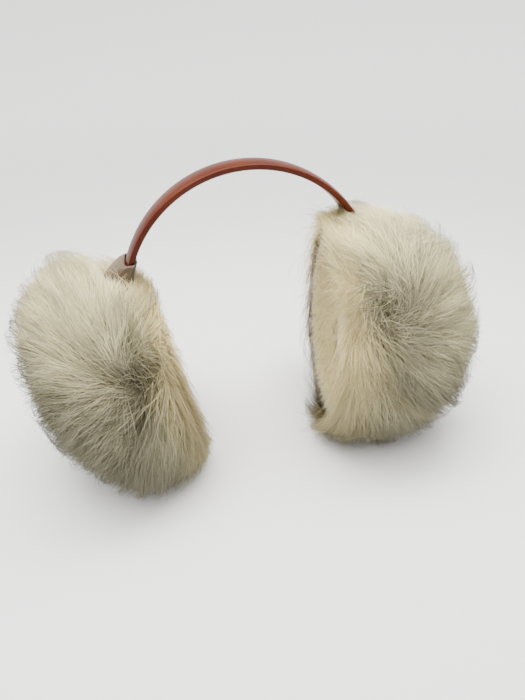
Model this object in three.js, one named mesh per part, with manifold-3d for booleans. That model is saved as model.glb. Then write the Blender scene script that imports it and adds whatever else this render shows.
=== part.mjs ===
// Fur earmuffs: two deep fur muffs on a padded headband, in millimetres, +Z up.
// The muffs stand on a flat surface at z = 0. The wearer faces -Y, and +X is the wearer's left.
import * as THREE from "three";
import { mergeVertices } from "three/addons/utils/BufferGeometryUtils.js";
import Module from "manifold-3d";

const wasm = await Module();
wasm.setup();

// The running gap between neighbouring pieces
const GAP = 0.3;

// Finest detail kept in the fur and round its seats, and the distance at which corners are one
const FINEST_LOCK_DETAIL = 1;
const FINEST_SEAT_DETAIL = 0.05;
const WELD_DISTANCE = 0.001;
const WELD_PASSES = 3;

// Padded headband: an elliptical arch with a straight leg down into each muff
const BAND_HALF_SPAN = 80;
const BAND_WIDTH = 20.5;
const BAND_THICKNESS = 4.6;
const BAND_CROWN = 1.5;
const BAND_ARCH_RISE = 81;
const BAND_TOP_HEIGHT = 186;
const BAND_LEG_LENGTH = 26;
const BAND_BEHIND_MUFFS = 9;
const BAND_STEPS = 38;
const BAND_CURVE_STEPS = 2;

// Fur muffs: the ellipsoid that each one's fur fills. A lean takes its top outwards.
const MUFF_HALF_DEPTH = 74;
const MUFF_HALF_HEIGHT = 79;
const LEFT_MUFF_CENTRE_X = 75;
const LEFT_MUFF_CENTRE_HEIGHT = 75;
const LEFT_MUFF_HALF_THICKNESS = 69;
const LEFT_MUFF_LEAN_DEGREES = -6;
const RIGHT_MUFF_CENTRE_X = 87.5;
const RIGHT_MUFF_CENTRE_HEIGHT = 65;
const RIGHT_MUFF_HALF_THICKNESS = 50;
const RIGHT_MUFF_LEAN_DEGREES = 22;
const FUR_DEPTH = 10.5;
const PRESSED_FUR_DEPTH = 2;
const PRESSED_SPREAD_DEGREES = 40;
const SKIN_SIDES = 24;
const SKIN_LEVELS = 14;

// The parting on the front of each muff, from which all its fur is combed
const LEFT_PARTING_DEGREES_UP = 30;
const LEFT_PARTING_DEGREES_IN = 4;
const RIGHT_PARTING_DEGREES_UP = 19;
const RIGHT_PARTING_DEGREES_IN = 35;
const PARTING_FUR_DEPTH = 6;
const PARTING_FUR_SPREAD_DEGREES = 45;
const PARTING_DENT = 9;
const PARTING_DENT_SPREAD_DEGREES = 15;

// Locks of fur, in rings round the parting
const LOCK_LENGTH = 37;
const LOCK_WIDTH = 21;
const LOCK_HEIGHT = 8;
const LOCK_ROOT_DEPTH = 5;
const LOCK_ROOT_SETBACK = 0.2;
const LOCK_ROOT_FULLNESS = 0.8;
const LOCK_TIP_FULLNESS = 1.7;
const LOCK_CURL = 0.5;
const LOCK_LIFT_DEGREES = 21;
const LOCK_SIDES = 4;
const LOCK_SEGMENTS = 2;
const LOCK_SPACING = 1.5;
const FEWEST_LOCKS_IN_RING = 5;
const LOCK_SCATTER = 0.16;
const RING_SCATTER_DEGREES = 3;
const LOCK_SIZE_SCATTER = 0.12;
const LOCK_KEPT_DEPTH = 8;

// The hollow between the muffs, where they are worn
const HOLLOW_HALF_WIDTH = 70;
const HOLLOW_HALF_LENGTH = 92;
const HOLLOW_HALF_HEIGHT = 98;
const HOLLOW_BELOW_BAND_TOP = 104;
const HOLLOW_BEHIND_BAND = 5;
const HOLLOW_SIDES = 26;
const HOLLOW_LEVELS = 16;

// Ear pad: a stuffed disc inside the muff
const PAD_RADIUS = 37;
const PAD_BELOW_BAND_TOP = 115;
const PAD_THICKNESS = 7;
const PAD_EDGE_RADIUS = 3;
const PAD_INSIDE_BAND = 1.2;
const PAD_SIDES = 28;
const PAD_EDGE_STEPS = 3;

// Gathered leather collar, where the band goes into the muff
const COLLAR_BELOW_BAND_TOP = 51;
const COLLAR_LENGTH = 24;
const COLLAR_WALL = 1.4;
const COLLAR_FLARE_OUT = 17;
const COLLAR_FLARE_SIDE = 4;
const COLLAR_FLARE_SUDDENNESS = 0.65;
const COLLAR_PLEATS = 13;
const COLLAR_PLEAT_DEPTH = 0.9;
const COLLAR_RIM_PLEAT_SHARE = 0.35;
const COLLAR_RIM_ROUNDNESS = 0.42;
const COLLAR_FOOT_ROUNDNESS = 0.82;
const COLLAR_LEVELS = 4;

// The parting of the fur above the collar, round the band
const NOTCH_HALF_WIDTH = 13;
const NOTCH_HALF_DEPTH = 17;
const NOTCH_BELOW_COLLAR_TOP = 6;

const BAND_CENTRE_RADIUS = BAND_HALF_SPAN - BAND_THICKNESS / 2;
const ARCH_BASE_HEIGHT = BAND_TOP_HEIGHT - BAND_ARCH_RISE;
const ARCH_CENTRE_RISE = BAND_ARCH_RISE - BAND_THICKNESS / 2;
const BAND_INNER_X = BAND_HALF_SPAN - BAND_THICKNESS;
const HOLLOW_CENTRE_HEIGHT = BAND_TOP_HEIGHT - HOLLOW_BELOW_BAND_TOP;
const PAD_CENTRE_HEIGHT = BAND_TOP_HEIGHT - PAD_BELOW_BAND_TOP;
const COLLAR_TOP_HEIGHT = BAND_TOP_HEIGHT - COLLAR_BELOW_BAND_TOP;
const DOWN = new THREE.Vector3(0, 0, -1);

const radians = THREE.MathUtils.degToRad;

// Solids and booleans

function toSolid(geometry) {
  const bare = geometry.clone();
  bare.deleteAttribute("normal");
  bare.deleteAttribute("uv");
  const merged = mergeVertices(bare, WELD_DISTANCE);
  return new wasm.Manifold(new wasm.Mesh({
    numProp: 3,
    vertProperties: new Float32Array(merged.attributes.position.array),
    triVerts: new Uint32Array(merged.index.array),
  }));
}

function toGeometry(solid) {
  const mesh = solid.getMesh();
  const geometry = new THREE.BufferGeometry();
  geometry.setAttribute("position", new THREE.BufferAttribute(new Float32Array(mesh.vertProperties), 3));
  geometry.setIndex(new THREE.BufferAttribute(new Uint32Array(mesh.triVerts), 1));
  return geometry;
}

// The largest body of a solid, without slivers, loose islands and sealed voids
function wholeSolid(solid) {
  let whole = solid.simplify(FINEST_SEAT_DETAIL);
  for (let pass = 0; pass < WELD_PASSES; pass += 1) {
    const bodies = toSolid(toGeometry(whole)).decompose();
    whole = bodies.reduce((largest, body) => (body.volume() > largest.volume() ? body : largest));
  }
  return whole;
}

// Moves every vertex of a geometry by a function of its own place
function reshape(geometry, move) {
  const place = geometry.attributes.position;
  const point = new THREE.Vector3();
  for (let i = 0; i < place.count; i += 1) {
    move(point.fromBufferAttribute(place, i));
    place.setXYZ(i, point.x, point.y, point.z);
  }
  return geometry;
}

// Headband

// The line of the band's middle: up one leg, over the arch and down the other leg
function bandPath() {
  const path = new THREE.CurvePath();
  const foot = ARCH_BASE_HEIGHT - BAND_LEG_LENGTH;
  const left = new THREE.Vector3(-BAND_CENTRE_RADIUS, BAND_BEHIND_MUFFS, foot);
  const right = new THREE.Vector3(BAND_CENTRE_RADIUS, BAND_BEHIND_MUFFS, foot);
  const springLeft = left.clone().setZ(ARCH_BASE_HEIGHT);
  const springRight = right.clone().setZ(ARCH_BASE_HEIGHT);
  class Arch extends THREE.Curve {
    getPoint(t, target = new THREE.Vector3()) {
      const angle = Math.PI * (1 - t);
      return target.set(
        BAND_CENTRE_RADIUS * Math.cos(angle),
        BAND_BEHIND_MUFFS,
        ARCH_BASE_HEIGHT + ARCH_CENTRE_RISE * Math.sin(angle),
      );
    }
  }
  path.add(new THREE.LineCurve3(left, springLeft));
  path.add(new Arch());
  path.add(new THREE.LineCurve3(springRight, right));
  return path;
}

// The band's section, grown by a clearance: flat inside, crowned outside, with round edges.
// Its first axis runs across the band, and its second axis points into the arch.
function bandSection(clearance) {
  const half = BAND_WIDTH / 2 + clearance;
  const inside = BAND_THICKNESS / 2 + clearance;
  const crown = -inside;
  const shoulder = crown + BAND_CROWN;
  const round = (inside - shoulder) / 2;
  const section = new THREE.Shape();
  section.moveTo(-half + round, inside);
  section.lineTo(half - round, inside);
  section.quadraticCurveTo(half, inside, half, inside - round);
  section.quadraticCurveTo(half, shoulder, half - round, shoulder);
  section.quadraticCurveTo(0, crown - BAND_CROWN, -half + round, shoulder);
  section.quadraticCurveTo(-half, shoulder, -half, inside - round);
  section.quadraticCurveTo(-half, inside, -half + round, inside);
  return section;
}

function bandGeometry(clearance) {
  return new THREE.ExtrudeGeometry(bandSection(clearance), {
    steps: BAND_STEPS,
    curveSegments: BAND_CURVE_STEPS,
    extrudePath: bandPath(),
  });
}

// The middle of the band's leg or arch at a height, for the side where x is positive
function bandCentreX(height) {
  const rise = THREE.MathUtils.clamp((height - ARCH_BASE_HEIGHT) / ARCH_CENTRE_RISE, 0, 1);
  return BAND_CENTRE_RADIUS * Math.sqrt(1 - rise * rise);
}

// Gathered collar

// Half the collar's size at a share of its length, from 0 at the rim to 1 at the flared foot
function collarSection(share, clearance) {
  const flare = share ** COLLAR_FLARE_SUDDENNESS;
  return {
    acrossBand: BAND_THICKNESS / 2 + COLLAR_WALL + clearance + (COLLAR_FLARE_OUT / 2) * flare,
    alongBand: BAND_WIDTH / 2 + COLLAR_WALL + clearance + COLLAR_FLARE_SIDE * flare,
    shiftOut: (COLLAR_FLARE_OUT / 2) * flare,
  };
}

// A signed power, for the rounded rectangle of the collar's section
function signedPower(value, power) {
  return Math.sign(value) * Math.abs(value) ** power;
}

// The collar as a filled solid, grown by a clearance, with pleats that deepen downwards.
// It is a lathe about Y, whose height becomes Z and whose rim of radius 1 becomes the pleated wall.
function collarGeometry(clearance) {
  const foot = COLLAR_TOP_HEIGHT - COLLAR_LENGTH - clearance;
  const rim = COLLAR_TOP_HEIGHT + clearance;
  const profile = [new THREE.Vector2(0, foot)];
  for (let i = 0; i <= COLLAR_LEVELS; i += 1) {
    profile.push(new THREE.Vector2(1, foot + ((rim - foot) * i) / COLLAR_LEVELS));
  }
  profile.push(new THREE.Vector2(0, rim));
  return reshape(new THREE.LatheGeometry(profile, COLLAR_PLEATS * 2), (point) => {
    const onAxis = Math.hypot(point.x, point.z) < 0.5;
    const angle = Math.atan2(-point.z, point.x);
    const height = point.y;
    const share = THREE.MathUtils.clamp((COLLAR_TOP_HEIGHT - height) / COLLAR_LENGTH, 0, 1);
    const { acrossBand, alongBand, shiftOut } = collarSection(share, clearance);
    point.set(bandCentreX(height) + shiftOut, BAND_BEHIND_MUFFS, height);
    if (!onAxis) {
      const roundness = THREE.MathUtils.lerp(COLLAR_RIM_ROUNDNESS, COLLAR_FOOT_ROUNDNESS, share);
      const depth = COLLAR_PLEAT_DEPTH * THREE.MathUtils.lerp(COLLAR_RIM_PLEAT_SHARE, 1, share);
      const pleat = depth * (Math.cos(COLLAR_PLEATS * angle) - 1) / 2;
      point.x += (acrossBand + pleat) * signedPower(Math.cos(angle), roundness);
      point.y += (alongBand + pleat) * signedPower(Math.sin(angle), roundness);
    }
  });
}

function collarSolid() {
  return toSolid(collarGeometry(0)).subtract(toSolid(bandGeometry(GAP)));
}

// Ear pad

// A disc with round edges about +X, whose flat face looks at the head
function padGeometry(clearance) {
  const radius = PAD_RADIUS + clearance;
  const edge = PAD_EDGE_RADIUS + clearance;
  const front = -PAD_THICKNESS - clearance;
  const back = clearance;
  const outline = new THREE.Path();
  outline.moveTo(0, front);
  outline.lineTo(radius - edge, front);
  outline.absarc(radius - edge, front + edge, edge, -Math.PI / 2, 0, false);
  outline.lineTo(radius, back);
  outline.lineTo(0, back);
  const lathe = new THREE.LatheGeometry(outline.getPoints(PAD_EDGE_STEPS), PAD_SIDES);
  lathe.rotateZ(-Math.PI / 2);
  lathe.translate(BAND_INNER_X - PAD_INSIDE_BAND, 0, PAD_CENTRE_HEIGHT);
  return lathe;
}

// Fur muff

// A muff for the side where X is positive: its middle, radii and lean, and the way to its parting
function muffForm(centreX, centreHeight, halfThickness, leanDegrees, partingDegreesUp, partingDegreesIn) {
  const up = radians(partingDegreesUp);
  const inwards = radians(partingDegreesIn);
  return {
    centre: new THREE.Vector3(centreX, 0, centreHeight),
    radii: new THREE.Vector3(halfThickness, MUFF_HALF_DEPTH, MUFF_HALF_HEIGHT),
    lean: new THREE.Quaternion().setFromAxisAngle(new THREE.Vector3(0, 1, 0), radians(leanDegrees)),
    parting: new THREE.Vector3(
      -Math.sin(inwards),
      -Math.cos(inwards) * Math.cos(up),
      Math.cos(inwards) * Math.sin(up),
    ),
  };
}

const MUFFS = {
  left: muffForm(
    LEFT_MUFF_CENTRE_X, LEFT_MUFF_CENTRE_HEIGHT, LEFT_MUFF_HALF_THICKNESS,
    LEFT_MUFF_LEAN_DEGREES, LEFT_PARTING_DEGREES_UP, LEFT_PARTING_DEGREES_IN,
  ),
  right: muffForm(
    RIGHT_MUFF_CENTRE_X, RIGHT_MUFF_CENTRE_HEIGHT, RIGHT_MUFF_HALF_THICKNESS,
    RIGHT_MUFF_LEAN_DEGREES, RIGHT_PARTING_DEGREES_UP, RIGHT_PARTING_DEGREES_IN,
  ),
};

// A bell that falls from 1 as an angle grows past its spread
function bell(angle, spreadDegrees) {
  return Math.exp(-((angle / radians(spreadDegrees)) ** 2));
}

// How deep the skin lies under the tips: locks lie flat at the parting and are pressed underneath
function furDepth(muff, direction) {
  const fromParting = direction.angleTo(muff.parting);
  const atParting = bell(fromParting, PARTING_FUR_SPREAD_DEGREES);
  const outwards = direction.clone().multiply(muff.radii).applyQuaternion(muff.lean);
  const underneath = bell(outwards.angleTo(DOWN), PRESSED_SPREAD_DEGREES);
  return FUR_DEPTH
    - (FUR_DEPTH - PARTING_FUR_DEPTH) * atParting
    - (FUR_DEPTH - PRESSED_FUR_DEPTH) * underneath
    + PARTING_DENT * bell(fromParting, PARTING_DENT_SPREAD_DEGREES);
}

// The fur's skin in one direction of the muff's own ball, under the locks
function skinPoint(muff, direction) {
  return direction.clone()
    .multiply(muff.radii)
    .addScaledVector(direction, -furDepth(muff, direction))
    .applyQuaternion(muff.lean)
    .add(muff.centre);
}

function skinNormal(muff, direction) {
  return direction.clone().divide(muff.radii).applyQuaternion(muff.lean).normalize();
}

function coreSolid(muff) {
  const sphere = new THREE.SphereGeometry(1, SKIN_SIDES, SKIN_LEVELS);
  return toSolid(reshape(sphere, (point) => point.copy(skinPoint(muff, point.clone().normalize()))));
}

// One lock: a cone bent from its root along the comb of the fur, flattened, with its tip lifted
function lockSolid(muff, direction, size) {
  const normal = skinNormal(muff, direction);
  const along = direction.clone().sub(muff.parting).multiply(muff.radii).applyQuaternion(muff.lean);
  along.addScaledVector(normal, -along.dot(normal)).normalize();
  const across = along.clone().cross(normal);
  const length = LOCK_LENGTH * size;
  const root = skinPoint(muff, direction)
    .addScaledVector(normal, -LOCK_ROOT_DEPTH)
    .addScaledVector(along, -length * LOCK_ROOT_SETBACK);
  const lift = radians(LOCK_LIFT_DEGREES);
  return toSolid(reshape(new THREE.ConeGeometry(1, 1, LOCK_SIDES, LOCK_SEGMENTS), (point) => {
    const share = point.y + 0.5;
    const fullness = THREE.MathUtils.lerp(LOCK_ROOT_FULLNESS, LOCK_TIP_FULLNESS, share);
    const climb = lift * (1 + LOCK_CURL * (0.5 - share));
    const sideways = point.x * (LOCK_WIDTH / 2) * size * fullness;
    const forwards = length * share * Math.cos(climb);
    const upwards = length * share * Math.sin(climb) + point.z * LOCK_HEIGHT * size * fullness;
    point.copy(root)
      .addScaledVector(across, sideways)
      .addScaledVector(along, forwards)
      .addScaledVector(normal, upwards);
  }));
}

// Locks in rings round the parting, a row for each ring: degrees from the parting, and its locks' size
const LOCK_RINGS = [
  { degrees: 20, size: 0.65 },
  { degrees: 38, size: 0.85 },
  { degrees: 57, size: 1.0 },
  { degrees: 77, size: 1.05 },
  { degrees: 97, size: 1.05 },
  { degrees: 117, size: 1.05 },
  { degrees: 137, size: 0.95 },
  { degrees: 157, size: 0.8 },
];

// Whether a point lies deeper than a margin in the hollow, where a lock would be cut away whole
function liesInHollow(point, margin) {
  const x = point.x / (HOLLOW_HALF_WIDTH - margin);
  const y = (point.y - BAND_BEHIND_MUFFS - HOLLOW_BEHIND_BAND) / (HOLLOW_HALF_LENGTH - margin);
  const z = (point.z - HOLLOW_CENTRE_HEIGHT) / (HOLLOW_HALF_HEIGHT - margin);
  return x * x + y * y + z * z < 1;
}

// A repeatable scatter between -1 and 1 for a lock of a ring
function scatter(ringNumber, lockNumber) {
  return Math.sin(7.3 * ringNumber + 4.1 * lockNumber);
}

// The direction at an angle from the parting, turned round it
function aroundParting(parting, tilt, turn) {
  const sideways = new THREE.Vector3(0, 0, 1).cross(parting).normalize();
  const upwards = parting.clone().cross(sideways);
  return parting.clone().multiplyScalar(Math.cos(tilt))
    .addScaledVector(sideways, Math.sin(tilt) * Math.cos(turn))
    .addScaledVector(upwards, Math.sin(tilt) * Math.sin(turn));
}

function lockSolids(muff) {
  const meanRadius = (muff.radii.x + muff.radii.y + muff.radii.z) / 3;
  const locks = [];
  LOCK_RINGS.forEach((ring, ringNumber) => {
    const around = 2 * Math.PI * meanRadius * Math.sin(radians(ring.degrees));
    const count = Math.max(FEWEST_LOCKS_IN_RING, Math.round(around / (LOCK_WIDTH * LOCK_SPACING)));
    const halfStep = (ringNumber % 2) / 2;
    for (let i = 0; i < count; i += 1) {
      const tilt = radians(ring.degrees + RING_SCATTER_DEGREES * scatter(ringNumber, i));
      const turn = (2 * Math.PI * (i + halfStep + LOCK_SCATTER * scatter(ringNumber, i))) / count;
      const direction = aroundParting(muff.parting, tilt, turn);
      const size = ring.size * (1 + LOCK_SIZE_SCATTER * scatter(i, ringNumber));
      if (!liesInHollow(skinPoint(muff, direction), LOCK_KEPT_DEPTH)) {
        locks.push(lockSolid(muff, direction, size));
      }
    }
  });
  return locks;
}

function ellipsoidSolid(x, y, z, halfX, halfY, halfZ) {
  const ball = new THREE.SphereGeometry(1, HOLLOW_SIDES, HOLLOW_LEVELS);
  ball.scale(halfX, halfY, halfZ);
  ball.translate(x, y, z);
  return toSolid(ball);
}

// All that lies below z = 0, where the fur is pressed flat
function groundSolid() {
  const reach = 2 * (RIGHT_MUFF_CENTRE_X + MUFF_HALF_HEIGHT);
  const slab = new THREE.BoxGeometry(2 * reach, 2 * reach, reach);
  slab.translate(0, 0, -reach / 2);
  return toSolid(slab);
}

// The fur round its hollow, standing on its base, with seats for the band, collar and pad
function furSolid(muff) {
  const grown = wasm.Manifold.union([coreSolid(muff), ...lockSolids(muff)]);
  const hollow = ellipsoidSolid(
    0, BAND_BEHIND_MUFFS + HOLLOW_BEHIND_BAND, HOLLOW_CENTRE_HEIGHT,
    HOLLOW_HALF_WIDTH, HOLLOW_HALF_LENGTH, HOLLOW_HALF_HEIGHT,
  );
  const notchTop = muff.centre.z + muff.radii.z;
  const notch = ellipsoidSolid(
    bandCentreX(COLLAR_TOP_HEIGHT), BAND_BEHIND_MUFFS, notchTop,
    NOTCH_HALF_WIDTH, NOTCH_HALF_DEPTH, notchTop - COLLAR_TOP_HEIGHT + NOTCH_BELOW_COLLAR_TOP,
  );
  const outside = wasm.Manifold.union([hollow, notch, groundSolid()]);
  const seats = wasm.Manifold.union([
    toSolid(bandGeometry(GAP)),
    toSolid(padGeometry(GAP)),
    toSolid(collarGeometry(GAP)),
  ]);
  return wholeSolid(grown.subtract(outside).simplify(FINEST_LOCK_DETAIL).subtract(seats));
}

// Assembly

// The same piece for the other side, with its faces kept outwards
function mirrored(geometry) {
  const other = geometry.clone();
  reshape(other, (point) => point.setX(-point.x));
  const corners = other.index.array;
  for (let i = 0; i < corners.length; i += 3) {
    [corners[i + 1], corners[i + 2]] = [corners[i + 2], corners[i + 1]];
  }
  return other;
}

function piece(name, geometry, material) {
  geometry.computeVertexNormals();
  const mesh = new THREE.Mesh(geometry, material);
  mesh.name = name;
  return mesh;
}

const leather = new THREE.MeshStandardMaterial({ color: 0x96512e, roughness: 0.42, metalness: 0 });
const suede = new THREE.MeshStandardMaterial({ color: 0x7c654f, roughness: 0.75, metalness: 0 });
const fur = new THREE.MeshStandardMaterial({ color: 0xd2c8a8, roughness: 0.95, metalness: 0 });
const plush = new THREE.MeshStandardMaterial({ color: 0xddd2b6, roughness: 0.9, metalness: 0 });

const earmuffs = new THREE.Group();
earmuffs.add(piece("headband", toGeometry(toSolid(bandGeometry(0))), leather));

const collar = toGeometry(collarSolid());
const earPad = toGeometry(toSolid(padGeometry(0)));
const leftFur = toGeometry(furSolid(MUFFS.left));
const rightFur = toGeometry(furSolid(MUFFS.right));
earmuffs.add(piece("left_collar", collar, suede));
earmuffs.add(piece("right_collar", mirrored(collar), suede));
earmuffs.add(piece("left_ear_pad", earPad, plush));
earmuffs.add(piece("right_ear_pad", mirrored(earPad), plush));
earmuffs.add(piece("left_fur", leftFur, fur));
earmuffs.add(piece("right_fur", mirrored(rightFur), fur));

// The origin is on the ground, in the middle of the whole object
const extent = new THREE.Box3().setFromObject(earmuffs);
earmuffs.position.x = -(extent.min.x + extent.max.x) / 2;
earmuffs.position.y = -(extent.min.y + extent.max.y) / 2;

export default earmuffs;
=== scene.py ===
"""Fur earmuffs: long cream fur, a rust leather headband, gathered leather collars and stuffed ear pads."""

import logging
import math
from collections.abc import Callable
from dataclasses import dataclass
from enum import Enum

import bmesh
import bpy
import numpy as np
from mathutils import Matrix, Vector, kdtree

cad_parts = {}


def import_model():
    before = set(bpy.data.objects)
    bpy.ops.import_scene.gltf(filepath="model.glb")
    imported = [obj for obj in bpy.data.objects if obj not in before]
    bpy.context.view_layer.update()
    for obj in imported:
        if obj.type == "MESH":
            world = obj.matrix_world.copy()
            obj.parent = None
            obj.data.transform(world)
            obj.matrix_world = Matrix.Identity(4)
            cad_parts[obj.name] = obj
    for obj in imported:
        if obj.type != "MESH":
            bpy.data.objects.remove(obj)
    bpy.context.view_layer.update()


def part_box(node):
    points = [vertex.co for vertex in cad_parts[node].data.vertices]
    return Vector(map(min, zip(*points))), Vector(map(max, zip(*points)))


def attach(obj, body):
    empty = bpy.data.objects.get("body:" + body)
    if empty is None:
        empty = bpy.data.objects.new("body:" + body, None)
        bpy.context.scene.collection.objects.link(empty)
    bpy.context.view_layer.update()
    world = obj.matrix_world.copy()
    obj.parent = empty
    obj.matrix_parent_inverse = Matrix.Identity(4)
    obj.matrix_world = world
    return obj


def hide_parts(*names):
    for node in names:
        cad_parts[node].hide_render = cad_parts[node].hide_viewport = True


logging.basicConfig(level=logging.INFO, format="%(message)s")
LOG = logging.getLogger("earmuffs")

Array = np.ndarray
Piece = bpy.types.Object
Material = bpy.types.Material
Node = bpy.types.Node
Socket = bpy.types.NodeSocket
Pair = tuple[float, float]
Triple = tuple[float, float, float]

MM = 0.001
TINY = 1e-9
ENDLESS = 1e9
SEAM_METRES = 1e-6
LEVEL_SLOPE = 1e-3

# The object's own forms, in millimetres, as the CAD solids have them
BAND_THICKNESS = 4.6
BAND_BEHIND_MUFFS = 9.0
MUFF_HALF_DEPTH = 74.0
MUFF_HALF_HEIGHT = 79.0
HOLLOW_RADII = np.array([70.0, 92.0, 98.0])
HOLLOW_BELOW_BAND_TOP = 104.0
HOLLOW_BEHIND_BAND = 5.0
PAD_BELOW_BAND_TOP = 115.0
PAD_RADIUS = 37.0
ARCH_RISE = 81.0
BAND_LEG_LENGTH = 26.0
COLLAR_BELOW_BAND_TOP = 51.0
COLLAR_LENGTH = 24.0
COLLAR_FLARE_OUT = 17.0
COLLAR_FLARE_SIDE = 4.0
COLLAR_FLARE_SUDDENNESS = 0.65

# The camera of the photo, worked out from the band's arch and the muffs' outlines
CAMERA_PLACE_MM = (-60.1, -306.1, 242.9)
CAMERA_AZIMUTH = -11.91
CAMERA_ELEVATION = 29.86
CAMERA_ROLL = -2.34
CAMERA_LENS = 27.6
CAMERA_NEAREST = 0.01


class Side(Enum):
    """The side of the wearer that a piece is on, and the sign of its X."""

    LEFT = 1
    RIGHT = -1

    @property
    def label(self) -> str:
        """The side's name at the start of its nodes' names."""
        return self.name.lower()

    def mirror(self, rows: Array) -> Array:
        """Takes points or directions made where X is positive to this side."""
        return rows * np.array([self.value, 1.0, 1.0])


# Materials


@dataclass(frozen=True)
class FurFinish:
    """Colours of a hair, where they lie between its root and its tip, and how light plays in it."""

    # The dark golden-brown root is partly the fur's own darker roots and partly painted shade of the crevices
    # between locks
    root: Triple = (0.24, 0.18, 0.08)
    middle: Triple = (0.76, 0.69, 0.44)
    middle_at: float = 0.3
    tip: Triple = (0.98, 0.93, 0.62)
    tip_at: float = 0.7
    # The grey ramp is the colour of painted shade low down, at the parting and on the wisps' tips, and of each
    # lock's own greyness
    grey_root: Triple = (0.11, 0.092, 0.055)
    grey_tip: Triple = (0.24, 0.228, 0.170)
    grey_tip_at: float = 0.65
    warm: Triple = (0.86, 0.70, 0.34)
    warm_at: float = 0.6
    roughness: float = 0.8
    specular: float = 0.12
    translucency: float = 0.5
    nap_share: float = 0.85
    # Painted shade on the wisps' tips, greyer towards their ends
    wisp_grey: float = 1.0
    wisp_grey_power: float = 3.0


@dataclass(frozen=True)
class LeatherFinish:
    """Colours, gloss and grain of one leather."""

    base: Triple
    worn: Triple
    roughness: float
    specular: float
    coat: float
    grain_per_metre: float
    grain_height: float
    grain_detail: float = 6.0
    blotches_per_metre: float = 38.0
    base_until: float = 0.35
    worn_from: float = 0.75
    coat_smoothness: float = 0.8


BAND_FINISH = LeatherFinish((0.056, 0.0068, 0.0006), (0.088, 0.015, 0.0018), 0.38, 0.13, 0.03, 900.0, 0.00010)
COLLAR_FINISH = LeatherFinish((0.066, 0.042, 0.022), (0.13, 0.088, 0.05), 0.48, 0.3, 0.08, 700.0, 0.0002)


@dataclass(frozen=True)
class PlushFinish:
    """Colour and pile of the plush inside the muffs and on the pads."""

    base: Triple = (0.68, 0.58, 0.37)
    pile_per_metre: float = 1500.0
    pile_detail: float = 2.0
    pile_height: float = 0.0005
    clouds_per_metre: float = 60.0
    cloud_shade: float = 0.78
    clouds_between: Pair = (0.3, 0.7)
    roughness: float = 0.9
    sheen: float = 0.6


class NodeTree:
    """A material's node tree, with short calls to add and link nodes."""

    def __init__(self, name: str) -> None:
        """Makes the material and keeps its nodes at hand.

        Args:
            name: the material's name.
        """
        self.material = bpy.data.materials.new(name)
        self.material.use_nodes = True
        self.nodes = self.material.node_tree.nodes
        self.links = self.material.node_tree.links
        self.shader = self.nodes["Principled BSDF"]
        self.output = self.nodes["Material Output"]

    def add(self, kind: str, **values: object) -> Node:
        """Adds a node.

        Args:
            kind: the node's type name.
            values: attributes to set on it.

        Returns:
            The new node.
        """
        node = self.nodes.new(kind)
        for key, value in values.items():
            setattr(node, key, value)
        return node

    def link(self, source: Socket, target: Socket) -> None:
        """Links an output socket to an input socket."""
        self.links.new(source, target)

    def shade(self, values: dict[str, float | tuple]) -> None:
        """Sets inputs of the shader by their names."""
        for name, value in values.items():
            self.shader.inputs[name].default_value = value

    def attribute(self, name: str, output: str) -> Socket:
        """Adds a node that reads one of the mesh's own attributes."""
        return self.add("ShaderNodeAttribute", attribute_name=name).outputs[output]

    def maths(self, operation: str, *values: Socket | float, **options: object) -> Socket:
        """Adds a node that works out a number.

        Args:
            operation: what it does with its values.
            values: sockets and numbers, in the order of the node's inputs.
            options: attributes to set on it.

        Returns:
            The result's socket.
        """
        node = self.add("ShaderNodeMath", operation=operation, **options)
        for place, value in zip(node.inputs, values):
            if isinstance(value, float):
                place.default_value = value
            else:
                self.link(value, place)
        return node.outputs["Value"]

    def ramp(self, source: Socket, stops: list[tuple[float, Triple]]) -> Socket:
        """Adds a colour ramp fed by a socket.

        Args:
            source: the value that drives the ramp.
            stops: position and linear colour of each stop.

        Returns:
            The colour's socket.
        """
        ramp = self.add("ShaderNodeValToRGB")
        elements = ramp.color_ramp.elements
        while len(elements) < len(stops):
            elements.new(0.5)
        for element, (position, colour) in zip(elements, stops):
            element.position = position
            element.color = (*colour, 1.0)
        self.link(source, ramp.inputs["Fac"])
        return ramp.outputs["Color"]

    def mix(self, kind: str, share: Socket | float, first: Socket, second: Socket) -> Socket:
        """Adds a mix of two colours or vectors by a share.

        Args:
            kind: the type of what is mixed.
            share: 0 for the first and 1 for the second.
            first: the first colour or vector.
            second: the second colour or vector.

        Returns:
            The mixed socket.
        """
        mix = self.add("ShaderNodeMix", data_type=kind)
        if isinstance(share, float):
            mix.inputs["Factor"].default_value = share
        else:
            self.link(share, mix.inputs["Factor"])
        self.link(first, mix.inputs["A"])
        self.link(second, mix.inputs["B"])
        return mix.outputs["Result"]

    def bump(self, height: Socket, distance: float) -> None:
        """Adds a relief to the shader.

        Args:
            height: the height socket.
            distance: the height of the relief in metres.
        """
        bump = self.add("ShaderNodeBump")
        bump.inputs["Distance"].default_value = distance
        self.link(height, bump.inputs["Height"])
        self.link(bump.outputs["Normal"], self.shader.inputs["Normal"])

    def noise(self, scale: float, detail: float = 4.0) -> Socket:
        """Adds a noise texture on object coordinates.

        Args:
            scale: how many of its waves go in a metre.
            detail: how many finer layers it has.

        Returns:
            The noise's socket.
        """
        place = self.add("ShaderNodeTexCoord")
        noise = self.add("ShaderNodeTexNoise")
        noise.inputs["Scale"].default_value = scale
        noise.inputs["Detail"].default_value = detail
        self.link(place.outputs["Object"], noise.inputs["Vector"])
        return noise.outputs["Fac"]


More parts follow.
